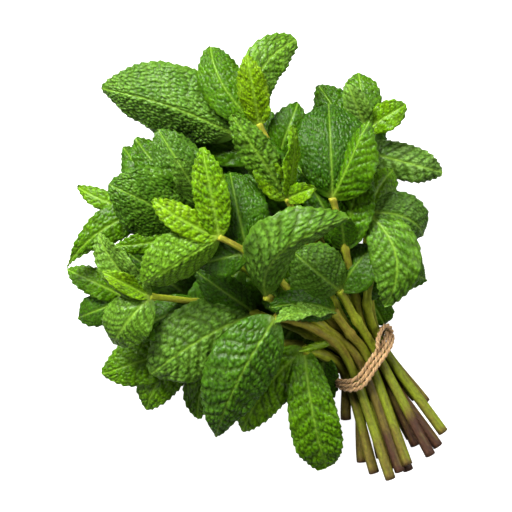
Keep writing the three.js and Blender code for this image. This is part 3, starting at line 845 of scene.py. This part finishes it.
@dataclass
class LeafShaper:
    """Bends a flat sheet into a mint leaf and quilts it between its veins."""

    leaf: Leaf
    base: Point
    seed: float
    thickness: float = 0.34
    stalk_half: float = 1.0
    stalk_thickness: float = 1.1
    lateral_slant: float = 0.75
    lateral_squeeze: float = 0.8
    groove_share: float = 0.12
    vein_half: float = 0.34
    tooth_depth: float = 0.6
    tooth_back: float = 0.72
    cell_jitter: float = 0.9
    camber: float = 0.12
    tip_droop: float = 1.4

    @property
    def length(self) -> float:
        """The straight distance from stem to tip."""
        return float(np.linalg.norm(np.array(self.leaf.tip) - np.array(self.base)))

    @property
    def vein_spacing(self) -> float:
        """The distance between side veins along the midrib."""
        return min(max(self.length / 8.5, 3.0), 5.4)

    @property
    def pillow_size(self) -> float:
        """The width of one pillow between the veins: the flatter the quilting, the wider its pillows."""
        return min(max(0.7 - 0.44 * self.leaf.quilt, 0.31), 0.5) * self.vein_spacing

    def half_width(self, u: Array) -> Array:
        """Gives half the blade's width along its length: an egg shape, broadest below the middle.

        Args:
            u: Share of the way from stem to tip.

        Returns:
            Half the width in millimetres.
        """
        taper = self.leaf.taper
        widest = 0.5 / (0.5 + taper)
        share = u**0.5 * (1 - u) ** taper / (widest**0.5 * (1 - widest) ** taper)
        return np.maximum(self.stalk_half * (1 - u), self.leaf.width / 2 * share)

    def bend(self, u: Array, across_mm: Array, up_mm: Array) -> Array:
        """Carries flat places on the leaf to their places in the bunch.

        Args:
            u: Share of the way from stem to tip.
            across_mm: Distance from the midrib, to the leaf's left.
            up_mm: Height above the middle of the blade.

        Returns:
            The places on the page in millimetres.
        """
        leaf = self.leaf
        base = np.array(self.base, dtype=float)
        chord = np.array(leaf.tip, dtype=float) - base
        along = unit(chord)
        facing = unit(UP - along * UP.dot(along))
        roll, fold = math.radians(leaf.roll), math.radians(leaf.fold)
        facing = facing * math.cos(roll) + np.cross(along, facing) * math.sin(roll)
        across = np.cross(facing, along)
        bulge = facing * leaf.bow + across * leaf.swing
        run = unit(chord + bulge * (4 * (1 - 2 * u))[:, None])
        sideways = unit(across - run * (run @ across)[:, None])
        up = np.cross(run, sideways)
        soft = across_mm**2 / (np.abs(across_mm) + 0.8)
        midrib = base + chord * u[:, None] + bulge * (4 * u * (1 - u))[:, None]
        lift = soft * math.sin(fold) + up_mm
        return midrib + sideways * (across_mm * math.cos(fold))[:, None] + up * lift[:, None]

    def quilt(self, x: Array, y: Array) -> tuple[Array, Array, Array]:
        """Works out the relief between the veins, and the painted light and shade that go with it.

        Args:
            x: Distance along the midrib in millimetres.
            y: Distance across it.

        Returns:
            The height in millimetres, how much painted light each place gets, from 0 in the shaded grooves to
            1 on the crests, and how much it is a vein.
        """
        seed, spacing, size = self.seed, self.vein_spacing, self.pillow_size
        groove = self.groove_share * spacing
        away = np.abs(y)
        side = np.where(y < 0, 5.3, 0.0)
        wander = 0.7 * np.sin(away * 0.5 + seed + side) + 0.5 * np.sin(x * 0.4 + seed * 2 + side)
        slant = self.lateral_slant * away - 0.012 * away**2
        order = (x - slant + wander) / spacing + side * 0.08 + seed
        off = (order - np.round(order)) * spacing * self.lateral_squeeze
        reach = np.clip(away / max(self.leaf.width / 2, 1.0), 0, 1)
        lateral = hump(off, groove) * (1 - 0.35 * reach)
        midrib = hump(away, self.vein_half * (1.7 - x / self.length))
        across = order * spacing * self.lateral_squeeze
        along = away * 1.25 + 0.3 * x
        bend = 0.35 * np.sin(along * 0.9 + seed) + 0.25 * np.sin(along * 1.7 + across * 0.8)
        shift = 0.4 * np.sin(across * 0.8 + seed * 3) + 0.25 * np.sin(across * 1.9 - along * 0.7)
        border, near = self.cells((across + bend) / size, (along + shift) / (size * 1.12) + side)
        pillow = 1 - hump(border, 0.25, 1.4)
        dome = np.clip(1 - 1.1 * near**2, 0, 1)
        strength = self.leaf.quilt
        ribs = min(max(1.5 - strength, 0.3), 1.0)
        clear = 1 - 0.8 * hump(away, 0.9)
        padding = 0.34 * strength * size * (pillow + dome)
        height = clear * (padding - 1.1 * groove * ribs * lateral) - 0.3 * midrib
        # Painted light and shade: the pillows' crests lighter, their borders and the side veins' grooves
        # darker.
        contrast = min(strength + 0.35, 1.0)
        raised = 1 - contrast + contrast * (0.7 * pillow + 0.3 * dome)
        painted_lightness = np.clip(raised * (1 - 0.9 * ribs * lateral), 0.8 * (1 - clear), 1)
        return height, painted_lightness, np.clip(midrib + 0.15 * lateral, 0, 1)

    def cells(self, first: Array, second: Array) -> tuple[Array, Array]:
        """Measures places against a net of uneven cells.

        Args:
            first: Place along one way of the net, in cells.
            second: Place along the other way.

        Returns:
            The distance from a border, and the distance from the middle of the cell.
        """
        gaps = []
        for step_first in (-1, 0, 1):
            for step_second in (-1, 0, 1):
                column, row = np.floor(first) + step_first, np.floor(second) + step_second
                shift_first = (scatter(column, row, self.seed) - 0.5) * self.cell_jitter
                shift_second = (scatter(column, row, self.seed + 3.7) - 0.5) * self.cell_jitter
                gaps.append(np.hypot(column + 0.5 + shift_first - first, row + 0.5 + shift_second - second))
        nearest, next_nearest = np.sort(gaps, axis=0)[:2]
        return next_nearest - nearest, nearest

    def shape(self, blade: Piece, teeth: int) -> None:
        """Shapes a copied sheet into this leaf and writes what its finish reads.

        Args:
            blade: The copied sheet.
            teeth: How many teeth it has on a side.
        """
        flat = coordinates(blade.data)
        step = np.clip((flat[:, 0] + 1) / 2, 0, 1)
        v = np.clip(flat[:, 1], -1, 1)
        face = np.sign(flat[:, 2])
        u = 0.45 * step + 0.55 * (1 - np.cos(math.pi * step)) / 2
        half = self.half_width(np.clip(u, 0, 1)) * (1 - 0.2 * smooth(u, 0.75, 1.0))
        phase = step * teeth + self.seed
        saw = phase - np.floor(phase)
        back = self.tooth_back
        tooth = np.where(saw < back, saw / back, (1 - saw) / (1 - back)) - 0.45
        margin = np.abs(v) ** 14 * smooth(u, 0.02, 0.12)
        x = u * self.length + margin * tooth * 0.5
        y = v * (half + margin * tooth * self.tooth_depth * min(1.0, self.leaf.width / 16 + 0.25))
        height, painted_lightness, veins = self.quilt(x, y)
        body = smooth(u, 0.03, 0.14) * smooth(-u, -1.0, -0.93) * smooth(-np.abs(v), -1.0, -0.9)
        ripple = 0.8 * np.sin(x * 0.5 + self.seed * 5 + (v < 0) * 2.1) * np.abs(v) ** 3
        ripple = ripple - self.camber * np.abs(v) ** 2 * half - self.tip_droop * smooth(u, 0.72, 1.0) ** 2
        stalk = hump(u * self.length, 2.4) * hump(y, 2.0)
        thick = self.thickness + (self.stalk_thickness - self.thickness) * stalk
        rib = np.where(face < 0, 0.55 * hump(y, 0.55) * (1 - 0.8 * u) * body, 0.0)
        up = height * body + ripple * smooth(u, 0.05, 0.3) + face * thick / 2 - rib
        places = self.bend(np.clip(x / self.length, -0.02, 1.02), y, up)
        places[:, 2] = np.maximum(places[:, 2], self.thickness * (face + 2) / 2)  # none below the table
        place(blade.data, places)
        # The second channel is the painted light and shade of the relief; pale, in the last, is painted
        # sheen.
        write_colours(blade.data, "shade", self.leaf.tone, painted_lightness * body + (1 - body) * 0.6, veins)
        write_colours(blade.data, "kind", np.where(face < 0, 1.0, 0.0), stalk, self.leaf.pale)
        start = scatter(np.array(self.seed), np.array(1.0), 2.0) * 7
        write_uv(blade.data, x * UV_SCALE + start, y * UV_SCALE + self.seed * 3)


# Stems


@dataclass
class StemMaker:
    """Rolls a grid into a square mint stem with swollen joints and rounded ends."""

    sprig: Sprig
    root_radius: float = 2.1
    thinning: float = 0.0065
    tip_radius: float = 1.15
    swelling: float = 0.32
    swelling_reach: float = 1.7
    squareness: float = 0.05
    ring_step: float = 1.35
    sides: int = 14
    ends: tuple[tuple[float, float], ...] = ((0.02, 0.5), (0.6, 0.42), (0.88, 0.25), (1.0, 0.0))
    tint_places: tuple[float, ...] = (0, 2.5, 14, 22, 42, 56)
    # Where the stem turns young and runs into the leaves' shade, which the finish lifts with painted light.
    young_and_shaded_reach: tuple[float, float] = (34.0, 60.0)

    def make(self) -> Piece:
        """Makes the stem as a closed tube, from its cut end, through the tie, to its last joint.

        Returns:
            The stem's object, with its colours written.
        """
        knots = np.array([self.sprig.cut, *self.sprig.joints], dtype=float)
        length = float(np.linalg.norm(np.diff(knots, axis=0), axis=1).sum())
        rings, caps = round(length / self.ring_step), len(self.ends) - 1
        row, across = self.sprig.slot
        tie = TIE_MIDDLE + across * TIE_ACROSS + (row - MIDDLE_ROW) * ROW_PITCH * UP
        line = spline(np.insert(knots, 1, tie, axis=0), rings)
        along = unit(np.gradient(line, axis=0))
        side = unit(np.cross(along, UP))
        top = np.cross(side, along)
        gaps = np.linalg.norm(line[:, None] - knots[1:], axis=2)
        swollen = 1 + self.swelling * hump(gaps, self.swelling_reach).sum(axis=1)
        stem, ring, angle = tube_sheet(rings + 2 * caps, self.sides)
        index = np.clip(ring - caps, 0, rings - 1)
        reach = index / (rings - 1) * length
        # ridge is high in the hollows of the four faces: it pulls them in, and the finish darkens them with
        # painted shade and lightens the corners with painted light.
        ridge = np.cos(2 * angle + 0.6) ** 2
        narrowed, out = np.array(self.ends)[np.clip(np.minimum(ring, ring.max() - ring), 0, caps)].T
        middle = line[index] + along[index] * (np.where(ring < caps, -1.0, 1.0) * out)[:, None]
        radius = np.maximum(self.root_radius - self.thinning * reach, self.tip_radius)
        radius = radius * swollen[index] * (1.04 - self.squareness * ridge) * narrowed
        foot, waist, head = self.sprig.tint.value
        purple = np.interp(reach, self.tint_places, [foot + 0.5, foot, foot, waist, waist, head])
        write_colours(stem.data, "shade", purple, 1 - ridge, np.where(ring < caps - 1, 1.0, 0.0))
        # The kind colour marks where the stem is young and shaded by leaves, which the finish lifts with
        # painted light.
        write_colours(stem.data, "kind", smooth(reach, *self.young_and_shaded_reach), 0.0, 0.0)
        write_uv(stem.data, reach * UV_SCALE, angle / math.tau * 0.1 + len(self.sprig.name))
        roll_up(stem, middle, (side[index], top[index]), radius, angle)
        return stem


@dataclass
class SprigBuilder:
    """Builds each sprig from its stem and leaves as one piece."""

    stock: BladeStock
    leaf_material: Material
    stem_material: Material

    def build(self, sprig: Sprig, number: int) -> Piece:
        """Builds one sprig in place of its solid.

        Args:
            sprig: What to build.
            number: Its place in the list, from which its random draws are seeded.

        Returns:
            The finished piece.
        """
        draw = random.Random(1000 + number)
        pieces = [StemMaker(sprig).make()]
        pieces[0].data.materials.append(self.stem_material)
        for leaf in sprig.leaves:
            shaper = LeafShaper(leaf, sprig.joints[leaf.joint], draw.uniform(0, 9))
            blade, teeth = self.stock.copy(shaper)
            shaper.shape(blade, teeth)
            blade.data.materials.append(self.leaf_material)
            pieces.append(blade)
        whole = join(pieces, f"{sprig.name}_leaves")
        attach(whole, "root")
        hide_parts(sprig.name)
        return whole


# Twine


@dataclass
class Twine:
    """Three turns of two-ply jute twine round the stems, and a slack loop at the side."""

    material: Material
    ply_radius: float = 0.56
    ply_offset: float = 0.46
    twist_length: float = 4.6
    turn_length: float = 78.0
    turn_pitch: float = 2.0
    turn_twist: float = 1.3
    slack_length: float = 26.0
    ring_step: float = 0.45
    sides: int = 12
    reference: Point = (0.31, 0.22, 0.92)  # no part of the twine runs this way
    loop: tuple[Point, ...] = (
        (14.5, 0, -3), (11.6, 6.9, 0.5), (2.5, 10.2, 5), (-6.8, 9, 8.8), (-12.8, 4.8, 6.2),
        (-14.6, -0.8, 0.8), (-10.2, -7.4, -1.5), (0, -10.2, -2.5), (10.2, -7.4, -3),
    )
    bight: tuple[Point, ...] = (
        (6.5, 10.8, 1.5), (8.2, 11.2, -1.5), (10.8, 11, -4.2), (13.9, 9, -5.8),
        (15.4, 6, -4.4), (14.8, 3, -1.6), (13.6, 1, 0),
    )

    def on_page(self, points: tuple[Point, ...]) -> Array:
        """Turns places given across, above and along the bundle into places on the page."""
        return TIE_MIDDLE + np.array(points, dtype=float) @ np.array([TIE_ACROSS, UP, TIE_ALONG])

    def slopes(self, line: Array, closed: bool) -> Array:
        """Gives the way a line runs at each of its points."""
        return np.roll(line, -1, axis=0) - np.roll(line, 1, axis=0) if closed else np.gradient(line, axis=0)

    def ply(self, line: Array, start: float, closed: bool, number: int) -> Piece:
        """Makes one ply, wound round the middle line of its twine.

        Args:
            line: The twine's middle line.
            start: Angle at which the ply starts.
            closed: Whether the twine runs back into itself.
            number: Sets the ply's lumps apart from the others'.

        Returns:
            The ply as a closed tube.
        """
        count = len(line)
        rings = count + 1 if closed else count
        turns = float(np.linalg.norm(np.diff(line, axis=0), axis=1).sum()) / self.twist_length
        if closed:
            turns = round(turns)
        along = unit(self.slopes(line, closed))
        side = unit(np.cross(along, self.reference))
        top = np.cross(side, along)
        winding = (start + math.tau * turns * np.arange(count) / (rings - 1))[:, None]
        middle = line + self.ply_offset * (side * np.cos(winding) + top * np.sin(winding))
        run = unit(self.slopes(middle, closed))
        side = unit(np.cross(run, along + 0.05 * top) + 1e-6)
        side = unit(side - run * np.sum(side * run, axis=1, keepdims=True))
        top = np.cross(side, run)
        piece, ring, angle = tube_sheet(rings, self.sides)
        spot = ring % count
        radius = 1 + 0.06 * np.sin(spot * 0.21 + number * 1.7) + 0.04 * np.sin(spot * 0.57 + number)
        if closed:
            radius *= 1 + 0.08 * np.sin(3 * angle + number)
        else:
            fibres = 0.07 * np.sin(3 * angle + ring * 0.55 + number) + 0.05 * np.sin(5 * angle - ring * 0.31)
            radius *= (1 + fibres) * np.clip(0.1 + np.minimum(ring, count - 1 - ring) * 0.3, 0, 1)
        write_uv(piece.data, ring * self.ring_step * UV_SCALE, angle / math.tau * 0.035 + number * 0.37)
        roll_up(piece, middle[spot], (side[spot], top[spot]), self.ply_radius * radius, angle)
        piece.data.materials.append(self.material)
        return piece

    def build(self) -> Piece:
        """Builds the turns and the slack loop in place of their solid.

        Returns:
            The finished piece.
        """
        turn = spline(self.on_page(self.loop), round(self.turn_length / self.ring_step), closed=True)
        slack = spline(self.on_page(self.bight), round(self.slack_length / self.ring_step))
        lines = [(turn + TIE_ALONG * k * self.turn_pitch, k * self.turn_twist, True) for k in (-1, 0, 1)]
        pieces = []
        for line, twist, closed in [*lines, (slack, 0.0, False)]:
            for start in (0.0, math.pi):
                pieces.append(self.ply(line, start + twist, closed, len(pieces)))
        whole = join(pieces, "twine_turns")
        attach(whole, "root")
        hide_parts("twine")
        return whole


# Studio


@dataclass(frozen=True)
class Softbox:
    """One soft lamp: where it stands on the page, its size in metres and its power in watts."""

    name: str
    place: Point
    size: float
    power: float


@dataclass
class Studio:
    """The white table, the soft lamps and the camera straight above."""

    middle: Point = (-42.4, 40.0, 25.0)
    table_size: float = 6.0
    view_width: float = 204.8
    camera_height: float = 3000.0
    sensor: float = 36.0
    sky: Colour = (1.0, 1.0, 0.8)
    sky_strength: float = 0.06
    contrast: float = 0.88
    exposure: float = 0.2
    lamps: tuple[Softbox, ...] = (
        Softbox("key", (-500.0, 900.0, 950.0), 0.6, 44.0),
        Softbox("right", (900.0, 250.0, 900.0), 0.8, 10.0),
        Softbox("left", (-900.0, -500.0, 900.0), 0.8, 6.0),
    )

    def build(self) -> None:
        """Sets up the table, lamps, world and camera."""
        deselect_all()
        bpy.ops.mesh.primitive_plane_add(size=self.table_size)
        table = bpy.context.active_object
        table.name = "table"
        table.data.materials.append(TableFinish().build())
        self.light()
        self.aim_camera()

    def light(self) -> None:
        """Places the lamps, aimed at the bunch, and an even faint sky."""
        for lamp in self.lamps:
            data = bpy.data.lights.new(lamp.name, "AREA")
            data.shape = "DISK"
            data.size = lamp.size
            data.energy = lamp.power
            light = bpy.data.objects.new(lamp.name, data)
            light.location = page_to_frame(np.array(lamp.place))
            back = unit(page_to_frame(np.array(lamp.place) - np.array(self.middle)))
            light.rotation_euler = (math.acos(back[2]), 0.0, math.atan2(back[1], back[0]) + math.pi / 2)
            bpy.context.scene.collection.objects.link(light)
        world = bpy.data.worlds.new("sky")
        world.use_nodes = True
        sky = world.node_tree.nodes["Background"]
        sky.inputs[0].default_value = (*self.sky, 1.0)
        sky.inputs[1].default_value = self.sky_strength
        bpy.context.scene.world = world
        view = bpy.context.scene.view_settings
        view.view_transform = "Standard"
        view.gamma = self.contrast
        view.exposure = self.exposure

    def aim_camera(self) -> None:
        """Looks straight down on the bunch, with the top of the page up."""
        data = bpy.data.cameras.new("above")
        data.sensor_width = self.sensor
        data.lens = self.sensor * self.camera_height / self.view_width
        data.clip_end = 20.0
        camera = bpy.data.objects.new("above", data)
        camera.location = page_to_frame(np.array(self.middle) + UP * self.camera_height)
        camera.rotation_euler = (0.0, 0.0, LAY_TURN)
        bpy.context.scene.collection.objects.link(camera)
        bpy.context.scene.camera = camera


def main() -> None:
    """Builds the bunch and its studio, and reports each piece."""
    logging.basicConfig(level=logging.INFO, format="%(message)s")
    Studio().build()
    stock = BladeStock()
    builder = SprigBuilder(stock, LeafFinish().build(), StemFinish().build())
    for number, sprig in enumerate(SPRIGS):
        builder.build(sprig, number)
    stock.clear()
    Twine(JuteFinish().build()).build()


if __name__ == "__main__":
    main()
